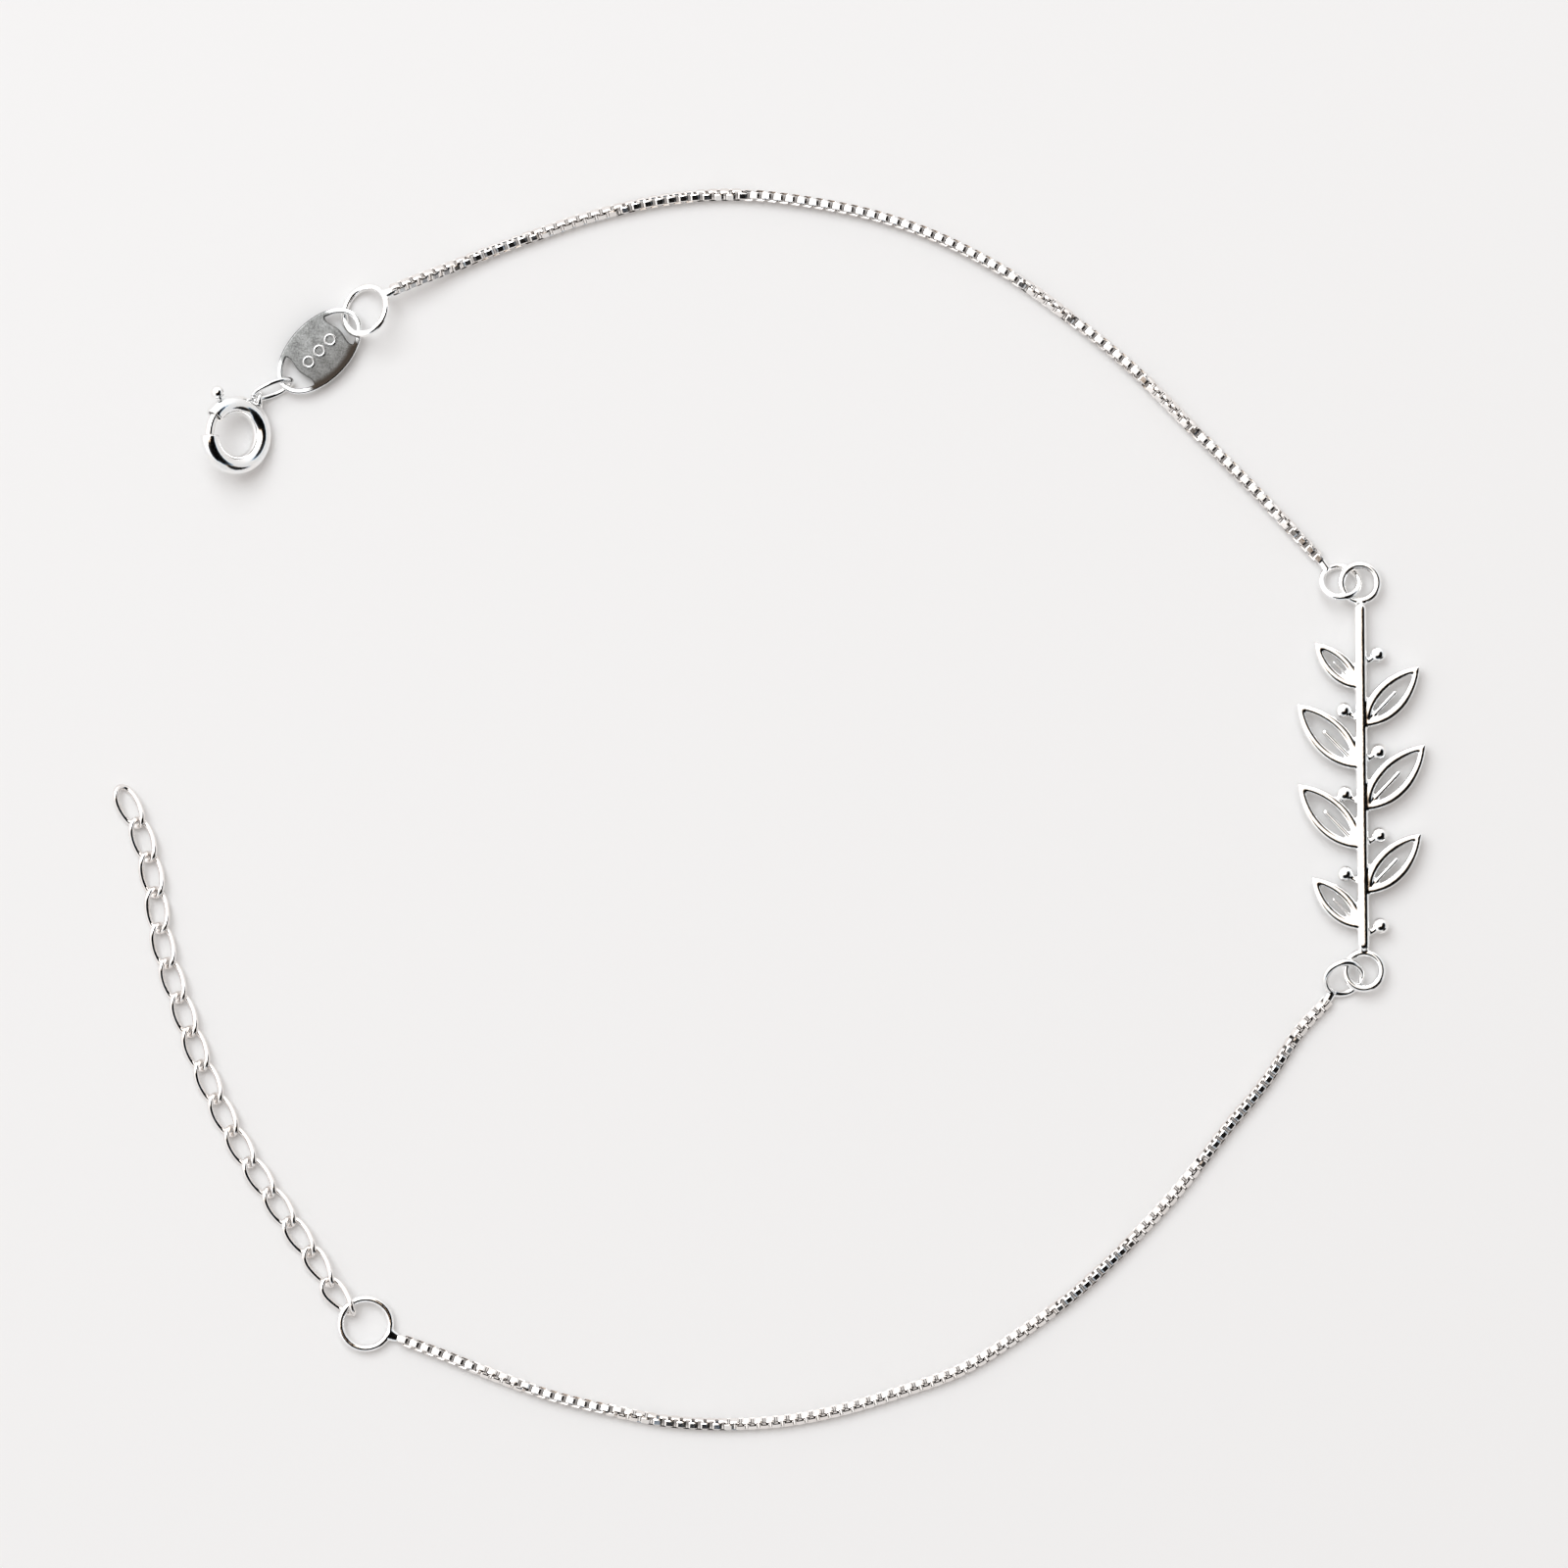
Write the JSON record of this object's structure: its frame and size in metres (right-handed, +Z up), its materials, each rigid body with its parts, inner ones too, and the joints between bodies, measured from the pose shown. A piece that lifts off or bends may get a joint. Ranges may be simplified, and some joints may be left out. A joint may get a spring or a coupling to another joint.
{
  "type": "bracelet",
  "caption": "Fine silver box-chain bracelet with a pierced sprig charm, a spring-ring clasp, an oval tag and a curb-link extender, lying open.",
  "frame": {"origin": "middle of the foot of the whole object, on the surface it lies on", "axes": "+X across the open loop from the extender towards the charm, +Y from the extender towards the clasp, +Z up"},
  "size_m": [0.0802, 0.076, 0.0033],
  "materials": {
    "polished_silver": "polished sterling silver",
    "satin_silver": "satin silver face with a polished rim"
  },
  "bodies": {
    "bracelet": {"clasp_ring": "polished_silver", "clasp_link": "polished_silver", "tag": "satin_silver", "tag_ring": "polished_silver", "chain_upper": "polished_silver", "jump_ring_upper": "polished_silver", "charm": "polished_silver", "jump_ring_lower": "polished_silver", "chain_lower": "polished_silver", "extender_ring": "polished_silver", "extender_link_01": "polished_silver", "extender_link_02": "polished_silver", "extender_link_03": "polished_silver", "extender_link_04": "polished_silver", "extender_link_05": "polished_silver", "extender_link_06": "polished_silver", "extender_link_07": "polished_silver", "extender_link_08": "polished_silver", "extender_link_09": "polished_silver", "extender_link_10": "polished_silver", "extender_link_11": "polished_silver", "extender_link_12": "polished_silver", "extender_link_13": "polished_silver", "extender_link_14": "polished_silver", "extender_link_15": "polished_silver", "extender_link_16": "polished_silver"},
    "clasp_bolt": {"clasp_bolt": "polished_silver"}
  },
  "joints": [
    {"name": "clasp_bolt_slide", "type": "hinge", "parent": "bracelet", "child": "clasp_bolt", "pos_m": [-0.03256, 0.02287, 0.00165], "axis": [-0.5736, 0, -0.8192], "range_deg": [0, 40], "stiffness_Nm_per_rad": 0.001, "springref_deg": -20.05}
  ]
}
